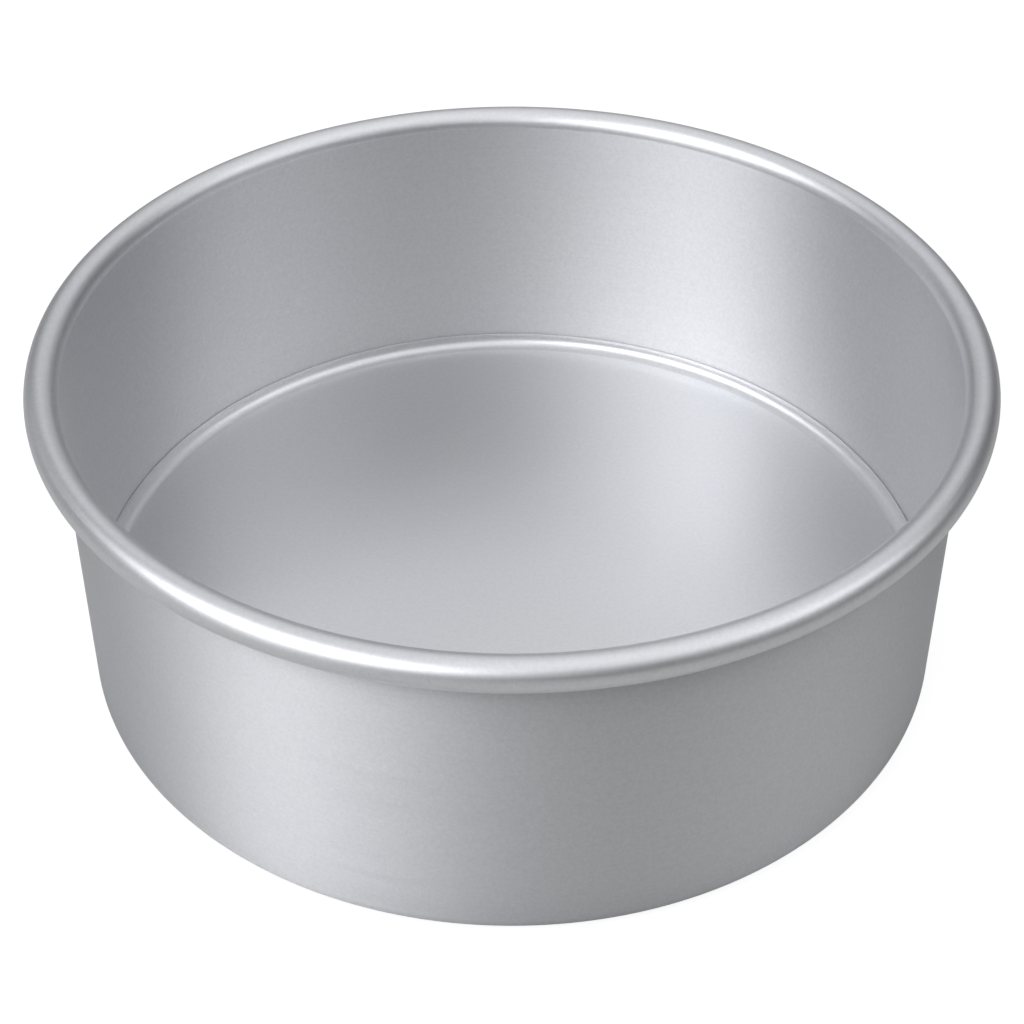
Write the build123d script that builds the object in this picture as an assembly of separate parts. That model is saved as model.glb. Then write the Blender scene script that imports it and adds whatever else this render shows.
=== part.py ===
from build123d import *
import os
from math import acos, cos, degrees, radians, sin, tan

# A round, deep cake tin with a loose base, in satin anodised aluminium.
# The origin is at the middle of the foot, on the table, and +Z is up.
# All lengths are in millimetres.

# The tin as a whole
rim_inner_diameter = 200.0      # the size that the tin is sold by
tin_height = 82.5
wall_slope = 0.35               # degrees: the wall opens upwards, so the base slides out freely

# The shell, one ring of sheet with both edges rolled
shell_sheet = 0.8
rim_bead_diameter = 7.5         # the top edge, rolled outwards
rim_bead_gap = 0.15             # from the end of the roll to the wall
foot_height = 11.2              # the bottom edge, rolled inwards, which the base rests on
foot_corner_radius = 4.5        # on the outside of the sheet
foot_flat_width = 3.0           # the roll is pressed flat here, below and above
foot_edge_gap = 0.25            # from the end of the roll to the wall

# The loose base, one pressed plate
base_sheet = 0.8
base_edge = 0.3                 # the lip is pressed this thin at its edge
base_corner_radius = 3.0        # inside the corner, where the floor meets the lip
base_clearance = 0.15           # from the lip to the wall, all round


# Places that follow from these sizes
slope = radians(wall_slope)
upwards = (sin(slope), cos(slope))
downwards = (-sin(slope), -cos(slope))
outwards = (1, 0)
inwards = (-1, 0)

rim_roll = rim_bead_diameter / 2 - shell_sheet / 2          # radius at the middle of the sheet
rim_start_height = tin_height - rim_bead_diameter / 2 + rim_roll * sin(slope)
rim_start_radius = rim_inner_diameter / 2 + shell_sheet / 2

foot_roll = foot_corner_radius - shell_sheet / 2
foot_start_height = foot_corner_radius - foot_roll * sin(slope)


def wall_radius(height):
    """Radius of the middle of the wall's sheet at a height."""
    return rim_start_radius - (rim_start_height - height) * tan(slope)


def roll_stop_angle(roll_diameter, sheet, gap):
    """How far before a full turn a roll stops, in degrees, to end clear of the wall beside it."""
    outer = roll_diameter / 2
    reach = acos((outer - sheet - gap) / outer)
    rounded_end = (sheet / 2) / (outer - sheet / 2)
    return degrees(reach + rounded_end)


def outline_of_sheet(middle, sheet):
    """Give a line its sheet thickness, half on each side, with both edges rounded."""
    outline = Wire(middle).offset_2d(sheet / 2, kind=Kind.ARC, closed=True)
    return make_face(outline.edges())


def make_tin_shell():
    """The wall, with the rim rolled outwards and the foot rolled inwards."""
    rim_start = (rim_start_radius, rim_start_height)
    foot_start = (wall_radius(foot_start_height), foot_start_height)
    wall = Line(rim_start, foot_start)

    rim_turn = 360 - roll_stop_angle(rim_bead_diameter, shell_sheet, rim_bead_gap)
    rim = JernArc(rim_start, upwards, rim_roll, -rim_turn)

    heel = JernArc(foot_start, downwards, foot_roll, wall_slope - 90)
    sole = PolarLine(heel @ 1, foot_flat_width, direction=inwards)
    toe = JernArc(sole @ 1, inwards, foot_roll, -90)
    side = PolarLine(toe @ 1, foot_height - 2 * foot_corner_radius, direction=(0, 1))
    shoulder = JernArc(side @ 1, (0, 1), foot_roll, -90)
    seat = PolarLine(shoulder @ 1, foot_flat_width, direction=outwards)
    tuck_turn = 90 - roll_stop_angle(2 * foot_corner_radius, shell_sheet, foot_edge_gap)
    tuck = JernArc(seat @ 1, outwards, foot_roll, -tuck_turn)

    middle = [rim, wall, heel, sole, toe, side, shoulder, seat, tuck]
    section = outline_of_sheet(middle, shell_sheet)
    return revolve(Plane.XZ * section, axis=Axis.Z)


def make_loose_base():
    """A flat plate with its edge turned up beside the wall, ever thinner towards its edge."""
    floor_height = foot_height + base_sheet
    lip_height = floor_height + base_corner_radius * (1 - sin(slope))
    to_wall = (shell_sheet / 2 + base_clearance + base_edge / 2) / cos(slope)
    lip_radius = wall_radius(lip_height) - to_wall
    lip_inside = (lip_radius - base_edge / 2, lip_height)
    lip_outside = (lip_radius + base_edge / 2, lip_height)

    # From the lip's edge down, round the corner and in to the axis, above and below
    above = JernArc(lip_inside, downwards, base_corner_radius, wall_slope - 90)
    floor = Line(above @ 1, (0, (above @ 1).Y))
    outer_corner_radius = base_corner_radius + base_edge
    outer_corner_height = foot_height + outer_corner_radius * (1 - sin(slope))
    lip_length = (lip_height - outer_corner_height) / cos(slope)
    lip = PolarLine(lip_outside, lip_length, direction=downwards)
    below = JernArc(lip @ 1, downwards, outer_corner_radius, wall_slope - 90)
    underside = Line(below @ 1, (0, (below @ 1).Y))

    edge = ThreePointArc(lip_inside, (lip_radius, lip_height + base_edge / 2), lip_outside)
    axis_line = Line(floor @ 1, underside @ 1)
    section = make_face([above, floor, axis_line, underside, below, lip, edge])
    return revolve(Plane.XZ * section, axis=Axis.Z)


pieces = {
    "tin_shell": make_tin_shell(),
    "loose_base": make_loose_base(),
}

os.makedirs("parts", exist_ok=True)
for name, piece in pieces.items():
    export_step(piece, f"parts/{name}.step")
    box = piece.bounding_box()
    print(f"{name}: {len(piece.solids())} solid, {piece.volume / 1000:.2f} cm3,"
          f" {2 * box.max.X:.2f} mm across, z {box.min.Z:.3f} to {box.max.Z:.3f}")
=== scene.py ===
# %% [markdown]
# # A round cake tin in satin aluminium
#
# The tin is two pieces of sheet metal. The shell is a ring whose top edge is rolled outwards into a
# hollow bead and whose foot is rolled inwards. The loose base is a plate that drops in and rests on
# the rolled foot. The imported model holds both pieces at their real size, in metres, and this script
# dresses them: it loads that model, measures it, and builds everything else around it.

# %% The frame and its size
import bmesh
import bpy
from math import acos, cos, pi, radians, sin, tan
from mathutils import Matrix, Vector


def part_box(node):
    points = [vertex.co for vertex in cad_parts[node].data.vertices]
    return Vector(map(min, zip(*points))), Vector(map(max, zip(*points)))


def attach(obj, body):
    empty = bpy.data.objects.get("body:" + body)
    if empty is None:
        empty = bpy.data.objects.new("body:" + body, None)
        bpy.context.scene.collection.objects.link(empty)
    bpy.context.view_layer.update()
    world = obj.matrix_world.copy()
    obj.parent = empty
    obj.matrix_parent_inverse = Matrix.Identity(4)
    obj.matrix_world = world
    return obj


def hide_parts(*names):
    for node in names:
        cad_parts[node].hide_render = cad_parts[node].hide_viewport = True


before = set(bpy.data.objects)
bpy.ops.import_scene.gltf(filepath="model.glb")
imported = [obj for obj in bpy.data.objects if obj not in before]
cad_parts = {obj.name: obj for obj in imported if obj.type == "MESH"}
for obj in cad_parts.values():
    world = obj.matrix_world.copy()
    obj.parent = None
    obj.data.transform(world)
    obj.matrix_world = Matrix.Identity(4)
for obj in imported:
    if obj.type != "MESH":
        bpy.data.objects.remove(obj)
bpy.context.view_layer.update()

mm = 0.001
tin_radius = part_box("tin_shell")[1].x
tin_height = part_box("tin_shell")[1].z
print("tin", round(2 * tin_radius / mm, 1), "mm across,", round(tin_height / mm, 1), "mm high")

# %% [markdown]
# ## The camera
#
# The camera comes first, because every later choice is judged through it. A long lens looks down
# into the tin at about 39 degrees. The camera aims at a point on the tin's axis, a little below half
# its height. An empty could be tracked with a constraint, but one matrix says the same in two lines
# and leaves nothing to update.

# %% Camera
camera_elevation = radians(39.28)
camera_distance = 0.5313
camera_lens = 79.18
aim_height = 0.4 * tin_height

camera_data = bpy.data.cameras.new("camera")
camera_data.lens = camera_lens
camera_data.sensor_width = 36
camera_data.clip_start = 0.01
camera_data.clip_end = 50
camera = bpy.data.objects.new("camera", camera_data)
bpy.context.scene.collection.objects.link(camera)
aim = Vector((0, 0, aim_height))
towards_camera = Vector((0, -cos(camera_elevation), sin(camera_elevation)))
camera.location = aim + camera_distance * towards_camera
camera.rotation_euler = towards_camera.to_track_quat("Z", "Y").to_euler()
bpy.context.scene.camera = camera
print("camera at", [round(v, 3) for v in camera.location])

# %% [markdown]
# ## The floor
#
# Product pictures of this kind stand on white that goes on for ever. A floor lit up to white would
# take far more light than the metal can stand, so most of the paper's white is a glow, and only a
# little of it answers to the lamps. That little still darkens where the tin shades it, so the tin
# stands on something. The Light Path node sets how strong the glow is: full for whatever looks
# straight at it, and a third for metal or glass that mirrors it, because at full strength it would
# wash the satin bands out. What the metal mirrors also gets darker close to the foot, and that is a
# painted shadow: the Ambient Occlusion node measures how much the tin hides the paper from the room
# and dims the glow by it, and this painted shadow is what draws the thin dark edge along the bottom
# of the tin. The paper ends where the lamps' light does, because further out it would turn grey,
# and a low camera would see that.


# %% Node helpers
def add(tree, kind, **values):
    """Add a node to a tree and set its inputs, which are named with underscores for spaces."""
    node = tree.nodes.new(kind)
    for name, value in values.items():
        node.inputs[name.replace("_", " ")].default_value = value
    return node


def link(tree, source, target):
    """Join two sockets in a node tree."""
    tree.links.new(source, target)


def grey(level):
    """A neutral colour."""
    return (level, level, level, 1)


def calculate(tree, operation, *values):
    """A Math node on sockets or numbers."""
    maths = add(tree, "ShaderNodeMath")
    maths.operation = operation
    for number, value in enumerate(values):
        if isinstance(value, (int, float)):
            maths.inputs[number].default_value = value
        else:
            link(tree, value, maths.inputs[number])
    return maths.outputs[0]


def background_strength(tree, seen, mirrored):
    """How bright a background is: one level for the camera, one for metal and glass."""
    path = add(tree, "ShaderNodeLightPath")
    direct = calculate(tree, "MULTIPLY", path.outputs["Is Camera Ray"], seen)
    by_metal_or_glass = calculate(tree, "MAXIMUM", path.outputs["Is Glossy Ray"],
                                  path.outputs["Is Transmission Ray"])
    indirect = calculate(tree, "MULTIPLY", by_metal_or_glass, mirrored)
    return calculate(tree, "ADD", direct, indirect)


# %% Floor
paper_grey = 0.2
paper_glow = 0.9
mirrored_glow = 0.3
contact_reach = 14 * mm
floor_radius = 1.6


def make_floor_material():
    """Paper that is white with a faint shadow for the camera, and dimmer in the metal, where a
    painted shadow darkens it near the foot.
    """
    material = bpy.data.materials.new("white_sweep")
    material.use_nodes = True
    tree = material.node_tree
    tree.nodes.clear()
    output = add(tree, "ShaderNodeOutputMaterial")
    paper = add(tree, "ShaderNodeBsdfDiffuse", Color=grey(paper_grey))
    glow = add(tree, "ShaderNodeEmission", Color=grey(1))
    both = add(tree, "ShaderNodeAddShader")
    # Painted shadow: the occlusion by the tin dims the glow that metal mirrors near the foot.
    open_room = add(tree, "ShaderNodeAmbientOcclusion", Distance=contact_reach)
    painted_shadow_factor = calculate(tree, "POWER", open_room.outputs["AO"], 2)
    mirrored = calculate(tree, "MULTIPLY", painted_shadow_factor, mirrored_glow)
    link(tree, background_strength(tree, paper_glow, mirrored), glow.inputs["Strength"])
    link(tree, paper.outputs[0], both.inputs[0])
    link(tree, glow.outputs[0], both.inputs[1])
    link(tree, both.outputs[0], output.inputs["Surface"])
    return material


floor_mesh = bpy.data.meshes.new("floor")
shape = bmesh.new()
bmesh.ops.create_circle(shape, cap_ends=True, segments=96, radius=floor_radius)
shape.to_mesh(floor_mesh)
shape.free()
floor = bpy.data.objects.new("floor", floor_mesh)
bpy.context.scene.collection.objects.link(floor)
floor.data.materials.append(make_floor_material())
print("floor", 2 * floor_radius, "m across")

# %% [markdown]
# ## The light
#
# Satin metal is drawn by its lamps. The wall is finished with rings that run round it, so each lamp
# becomes an upright band on it, and the band stands where the wall faces halfway between the lamp
# and the camera. Round softboxes stand about the tin, all at one distance. The strong pair in front
# on the left makes the wide bands on the outside left and on the inside right, and a low one beside
# them reaches under the bead. The weaker ones on the sides keep the far walls from going dark, the
# wide sheets overhead light the crest of the bead, and the ones behind are what the flat base
# mirrors. All have the slightly cool white of daylight.


# %% Lamps
lamp_distance = 1.5
daylight = (0.992, 1, 1.033)
lamps = {
    # name: (azimuth, elevation, diameter, watts); azimuth 0 is in front and 90 on the right
    "key": (-60, 40, 0.7, 8.4),
    "key_front": (-30, 40, 0.7, 4.9),
    "key_low": (-50, 14, 0.7, 1.2),
    "front": (0, 40, 0.7, 0.7),
    "front_right": (60, 40, 0.7, 1.0),
    "side_left": (-90, 40, 0.7, 1.5),
    "side_right": (90, 40, 0.7, 1.6),
    "back_left_low": (-120, 18, 0.7, 0.6),
    "back_left": (-152, 28, 1.2, 0.8),
    "back_right": (152, 28, 1.2, 0.8),
    "high_sheet": (60, 65, 1.8, 5.4),
    "overhead_sheet": (0, 90, 2.8, 4.6),
    "back_high_sheet": (180, 65, 1.8, 2.4),
    "back_sheet": (180, 45, 1.8, 2.0),
}


def make_lamp(name, azimuth, elevation, size, watts):
    """A round soft lamp that faces the tin."""
    data = bpy.data.lights.new(name, "AREA")
    data.shape = "DISK"
    data.size = size
    data.energy = watts
    data.color = daylight
    lamp = bpy.data.objects.new(name, data)
    bpy.context.scene.collection.objects.link(lamp)
    a, e = radians(azimuth), radians(elevation)
    away = Vector((sin(a) * cos(e), -cos(a) * cos(e), sin(e)))
    lamp.location = aim + lamp_distance * away
    lamp.rotation_euler = away.to_track_quat("Z", "Y").to_euler()
    return lamp


for name, (azimuth, elevation, size, watts) in lamps.items():
    make_lamp(name, azimuth, elevation, size, watts)
print("lamps:", ", ".join(lamps))

# %% Sky
mirrored_sky = 0.02

world = bpy.data.worlds.new("studio")
bpy.context.scene.world = world
world.use_nodes = True
sky = world.node_tree
sky.nodes.clear()
sky_out = add(sky, "ShaderNodeOutputWorld")
white_room = add(sky, "ShaderNodeBackground", Color=grey(1))
link(sky, background_strength(sky, 1, mirrored_sky), white_room.inputs["Strength"])
link(sky, white_room.outputs[0], sky_out.inputs["Surface"])
bpy.context.scene.view_settings.view_transform = "Standard"
print("white for the camera,", mirrored_sky, "in the metal")

# %% [markdown]
# ## The finish
#
# Satin aluminium is a metal whose surface is finely etched, so its reflections are blurred. Where
# the sheet was spun, hair-fine rings run round it, and they stretch each highlight across them.
# That stretch is the shader's anisotropy, which needs to know which way the rings run: the piece's
# own UV map says so, with U round the tin and V along the sheet's section. There are four grades of
# it: the spun wall, the rim, which the rolling tool has polished a little, the pressed lip of the
# base, and its flat floor, the smoothest of all. The rim and the flat floor also get a brighter
# colour than the wall, and that is painted light: the lighter colour stands in for light that the
# lamps don't bring to the bead and the floor.
#
# Three patterns make up the finish. Clouds a few centimetres wide drift between a cool and a less
# cool grey, as anodising does. A grain from one millimetre down to an eighth of one is the etched
# surface itself. The rings are noise that is stretched a hundred times as long as it is wide, and
# they vary the roughness and tilt the surface by a hair. The noise for the rings reads X and Y
# slowly and V fast, so that it closes on itself with no seam.


# %% Patterns of the finish
cool_grey = (0.751, 0.757, 0.774, 1)
mild_grey = (0.760, 0.763, 0.769, 1)
speckle_contrast = 0.06
cloud_scale = 14
cloud_roughness = 0.015
grain_scale = 1000
ring_length_scale = 25
ring_width_scale = 2200
ring_roughness = 0.03
noise_middle = (0.3, 0.7)


def noise(tree, place, scale, detail, roughness=0.5):
    """Noise on a place, from 0 to 1. The roughness is the share that each finer detail keeps."""
    texture = add(tree, "ShaderNodeTexNoise", Scale=scale, Detail=detail, Roughness=roughness)
    link(tree, place, texture.inputs["Vector"])
    return texture.outputs["Fac"]


def spread(tree, value, low, high):
    """Stretch the middle of a noise over a range."""
    stretched = add(tree, "ShaderNodeMapRange", From_Min=noise_middle[0],
                    From_Max=noise_middle[1], To_Min=low, To_Max=high)
    link(tree, value, stretched.inputs["Value"])
    return stretched.outputs[0]


def place_on_rings(tree):
    """Coordinates that run slowly round the tin and fast along the section."""
    place = add(tree, "ShaderNodeTexCoord")
    round_the_tin = add(tree, "ShaderNodeSeparateXYZ")
    link(tree, place.outputs["Object"], round_the_tin.inputs[0])
    section = add(tree, "ShaderNodeUVMap")
    section.uv_map = "section"
    along = add(tree, "ShaderNodeSeparateXYZ")
    link(tree, section.outputs[0], along.inputs[0])
    joined = add(tree, "ShaderNodeCombineXYZ")
    for axis in ("X", "Y"):
        slow = calculate(tree, "MULTIPLY", round_the_tin.outputs[axis], ring_length_scale)
        link(tree, slow, joined.inputs[axis])
    fast = calculate(tree, "MULTIPLY", along.outputs["Y"], ring_width_scale)
    link(tree, fast, joined.inputs["Z"])
    return joined.outputs[0]


# %% Satin metal
def make_satin(name, painted_brightness, roughness, anisotropy, ring_depth, grain_depth):
    """Satin aluminium. The depths, in metres, say how far the rings and the grain tilt it. A
    brightness over 1 makes a lighter copy of the same metal, which is painted light.
    """
    material = bpy.data.materials.new(name)
    material.use_nodes = True
    tree = material.node_tree
    tree.nodes.clear()
    output = add(tree, "ShaderNodeOutputMaterial")
    metal = add(tree, "ShaderNodeBsdfPrincipled", Metallic=1, Anisotropic=anisotropy,
                Anisotropic_Rotation=0.25)
    place = add(tree, "ShaderNodeTexCoord").outputs["Object"]
    clouds = noise(tree, place, cloud_scale, detail=2)
    grain = noise(tree, place, grain_scale, detail=3, roughness=1)
    rings = noise(tree, place_on_rings(tree), scale=1, detail=2)

    tint = add(tree, "ShaderNodeMix")
    tint.data_type = "RGBA"
    tint.inputs[6].default_value = cool_grey
    tint.inputs[7].default_value = mild_grey
    link(tree, spread(tree, clouds, 0, 1), tint.inputs[0])
    speckle = tree.nodes.new("ShaderNodeMix")
    speckle.data_type = "RGBA"
    speckle.blend_type = "MULTIPLY"
    speckle.inputs[0].default_value = 1
    link(tree, tint.outputs[2], speckle.inputs[6])
    # The grain speckles the colour round the brightness; above 1 that brightness is painted light.
    speckled = spread(tree, grain, painted_brightness - speckle_contrast, painted_brightness + speckle_contrast)
    link(tree, speckled, speckle.inputs[7])
    link(tree, speckle.outputs[2], metal.inputs["Base Color"])

    gloss = calculate(tree, "ADD", spread(tree, clouds, -cloud_roughness, cloud_roughness),
                      roughness)
    gloss = calculate(tree, "ADD", gloss, spread(tree, rings, -ring_roughness, ring_roughness))
    link(tree, gloss, metal.inputs["Roughness"])

    ring_tilt = add(tree, "ShaderNodeBump", Strength=1, Distance=ring_depth)
    link(tree, rings, ring_tilt.inputs["Height"])
    grain_tilt = add(tree, "ShaderNodeBump", Strength=1, Distance=grain_depth)
    link(tree, grain, grain_tilt.inputs["Height"])
    link(tree, ring_tilt.outputs[0], grain_tilt.inputs["Normal"])
    link(tree, grain_tilt.outputs[0], metal.inputs["Normal"])

    direction = add(tree, "ShaderNodeTangent")
    direction.direction_type = "UV_MAP"
    direction.uv_map = "section"
    link(tree, direction.outputs[0], metal.inputs["Tangent"])
    link(tree, metal.outputs[0], output.inputs["Surface"])
    return material


satin_wall = make_satin("satin_wall", painted_brightness=1, roughness=0.60, anisotropy=0.80,
                        ring_depth=0.002 * mm, grain_depth=0.004 * mm)
# The brightness over 1 of the rim and the base is painted light; their lower roughness is real
# polish.
satin_rim = make_satin("satin_rim", painted_brightness=1.05, roughness=0.46, anisotropy=0.30,
                       ring_depth=0.002 * mm, grain_depth=0.008 * mm)
satin_lip = make_satin("satin_lip", painted_brightness=1, roughness=0.44, anisotropy=0,
                       ring_depth=0, grain_depth=0.006 * mm)
satin_base = make_satin("satin_base", painted_brightness=1.11, roughness=0.37, anisotropy=0,
                        ring_depth=0, grain_depth=0.004 * mm)
print("finishes:", satin_wall.name, satin_rim.name, satin_lip.name, satin_base.name)

# %% [markdown]
# ## Drawing a sheet's section
#
# A sheet-metal worker makes a section out of straight runs and bends, and so does this pen. It
# moves one vertex: an extrude and a translate make a run, and a spin about the bend's centre makes a
# bend. The result is the middle line of the sheet. One more spin, right round the tin's axis, turns
# the line into the surface, and a Solidify modifier gives it the sheet's thickness.


# %% The pen
class SectionPen:
    """Draws the middle line of a sheet in the XZ plane with runs and bends."""

    def __init__(self, shape, tip, heading):
        self.shape = shape
        self.tip = tip
        self.heading = Vector(heading)
        self.walked = 0.0
        self.direction = 1

    def run(self, length, parts=1):
        """Go straight on."""
        for _ in range(parts):
            grown = bmesh.ops.extrude_vert_indiv(self.shape, verts=[self.tip])
            self.tip = grown["verts"][0]
            bmesh.ops.translate(self.shape, verts=[self.tip], vec=self.heading * length / parts)
            self.mark(length / parts)

    def bend(self, radius, angle, parts):
        """Follow an arc. A positive angle turns to the right, seen from the front."""
        side = 1 if angle > 0 else -1
        to_right = Matrix.Rotation(side * pi / 2, 3, "Y") @ self.heading
        centre = self.tip.co + radius * to_right
        for _ in range(parts):
            turned = bmesh.ops.spin(self.shape, geom=[self.tip], cent=centre, axis=(0, 1, 0),
                                    angle=angle / parts, steps=1)
            self.tip = [v for v in turned["geom_last"] if isinstance(v, bmesh.types.BMVert)][0]
            self.mark(radius * abs(angle) / parts)
        self.heading = Matrix.Rotation(angle, 3, "Y") @ self.heading

    def mark(self, step):
        """Note on the new vertex how far along the sheet it lies."""
        self.walked += self.direction * step
        self.tip[self.shape.verts.layers.float["along"]] = self.walked


same_place = 0.001 * mm


def spin_section(name, shape, segments, formed):
    """Spin a section right round the Z axis. The formed stretch of its V gets material slot 1."""
    bmesh.ops.spin(shape, geom=shape.verts[:] + shape.edges[:], cent=(0, 0, 0), axis=(0, 0, 1),
                   angle=2 * pi, steps=segments, use_merge=True)
    bmesh.ops.remove_doubles(shape, verts=shape.verts, dist=same_place)
    bmesh.ops.recalc_face_normals(shape, faces=shape.faces)
    along = shape.verts.layers.float["along"]
    uv = shape.loops.layers.uv.new("section")
    for face in shape.faces:
        face.smooth = True
        places = [corner.vert[along] for corner in face.loops]
        if min(places) > formed[0] - same_place and max(places) < formed[1] + same_place:
            face.material_index = 1
        middle = face.calc_center_median()
        face_angle = middle.xy.to_3d().rotation_difference(Vector((1, 0, 0))).angle
        face_angle = face_angle if middle.y >= 0 else 2 * pi - face_angle
        for corner in face.loops:
            place = corner.vert.co
            swing = Vector((middle.x, middle.y)).angle_signed(Vector((place.x, place.y)), 0)
            corner[uv].uv = ((face_angle - swing) * tin_radius, corner.vert[along])
    mesh = bpy.data.meshes.new(name)
    shape.to_mesh(mesh)
    shape.free()
    piece = bpy.data.objects.new(name, mesh)
    bpy.context.scene.collection.objects.link(piece)
    return piece


def thicken(piece, thickness):
    """Give a surface the sheet's thickness, half on each side, and round the cut edges."""
    sheet = piece.modifiers.new("thickness", "SOLIDIFY")
    sheet.thickness = thickness
    sheet.offset = 0
    sheet.use_even_offset = True
    edge = piece.modifiers.new("rounded edge", "BEVEL")
    edge.width = 0.45 * thickness
    edge.segments = 3
    edge.limit_method = "ANGLE"
    edge.angle_limit = radians(60)


# %% [markdown]
# ## The shell

# %% Shell
segments_round = 256
bead_parts = 40
wall_parts = 12
bend_parts = 12
wall_slope = radians(0.35)
shell_sheet = 0.8 * mm
bead_diameter = 7.5 * mm
bead_gap = 0.15 * mm
foot_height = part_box("loose_base")[0].z
foot_corner = 4.5 * mm
foot_flat = 3.0 * mm
foot_gap = 0.25 * mm

bead_roll = bead_diameter / 2 - shell_sheet / 2
foot_roll = foot_corner - shell_sheet / 2
wall_top = Vector((tin_radius - bead_diameter + shell_sheet / 2, 0,
                   tin_height - bead_diameter / 2 + bead_roll * sin(wall_slope)))
up_the_wall = Vector((sin(wall_slope), 0, cos(wall_slope)))


def roll_stop(diameter, gap):
    """How far before a full turn a roll stops, so that its end clears the wall beside it."""
    outer = diameter / 2
    return acos((outer - shell_sheet - gap) / outer) + (shell_sheet / 2) / (outer - shell_sheet / 2)


def new_section(start):
    """A bmesh with one vertex, ready for the pen, and a layer for the way along the sheet."""
    shape = bmesh.new()
    shape.verts.layers.float.new("along")
    return shape, shape.verts.new(start)


shape, start = new_section(wall_top)
rim = SectionPen(shape, start, up_the_wall)
rim.direction = -1
rim.bend(bead_roll, 2 * pi - roll_stop(bead_diameter, bead_gap), bead_parts)

wall_length = (wall_top.z - foot_corner + foot_roll * sin(wall_slope)) / cos(wall_slope)
wall = SectionPen(shape, start, -up_the_wall)
wall.run(wall_length, wall_parts)
wall.bend(foot_roll, pi / 2 - wall_slope, bend_parts)
wall.run(foot_flat)
wall.bend(foot_roll, pi / 2, bend_parts)
wall.run(foot_height - 2 * foot_corner)
wall.bend(foot_roll, pi / 2, bend_parts)
wall.run(foot_flat)
wall.bend(foot_roll, pi / 2 - roll_stop(2 * foot_corner, foot_gap), bend_parts // 2)
shell = spin_section("rolled_shell", shape, segments_round, formed=(rim.walked, 0))
thicken(shell, shell_sheet)
shell.data.materials.append(satin_wall)
shell.data.materials.append(satin_rim)
print("shell", len(shell.data.polygons), "faces")

# %% [markdown]
# ## The loose base
#
# The base is a plate whose edge is turned up beside the wall. The press squeezes the lip ever
# thinner towards its edge, so that it ends close to the wall with hardly a step. A sheet of even
# thickness can't say that, so here the pen goes right round the section: out along the underside,
# up the lip, over its edge, down into the corner and back to the axis along the floor.

# %% Loose base
base_sheet = 0.8 * mm
base_edge = 0.3 * mm
base_corner = 3.0 * mm
base_clearance = 0.15 * mm
floor_parts = 16
fillet_parts = 16
edge_parts = 6

floor_height = foot_height + base_sheet
lip_height = floor_height + base_corner * (1 - sin(wall_slope))
wall_at_lip = wall_top.x - (wall_top.z - lip_height) * tan(wall_slope)
lip_radius = wall_at_lip - (shell_sheet / 2 + base_clearance) / cos(wall_slope)
outer_corner = base_corner + base_edge
outer_corner_height = foot_height + outer_corner * (1 - sin(wall_slope))
lip_length = (lip_height - outer_corner_height) / cos(wall_slope)
underside_radius = lip_radius - lip_length * sin(wall_slope) - outer_corner * cos(wall_slope)

shape, start = new_section((0, 0, foot_height))
base_pen = SectionPen(shape, start, (1, 0, 0))
base_pen.run(underside_radius, floor_parts)
base_pen.bend(outer_corner, wall_slope - pi / 2, bend_parts)
base_pen.run(lip_length)
base_pen.bend(base_edge / 2, -pi, edge_parts)
base_pen.bend(base_corner, pi / 2 - wall_slope, fillet_parts)
lip_formed = (underside_radius, base_pen.walked)
base_pen.run(base_pen.tip.co.x, floor_parts)
base = spin_section("pressed_base", shape, segments_round, formed=lip_formed)
base.data.materials.append(satin_base)
base.data.materials.append(satin_lip)
print("base", len(base.data.polygons), "faces")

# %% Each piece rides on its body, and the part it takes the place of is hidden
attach(shell, "shell")
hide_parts("tin_shell")
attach(base, "base")
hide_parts("loose_base")
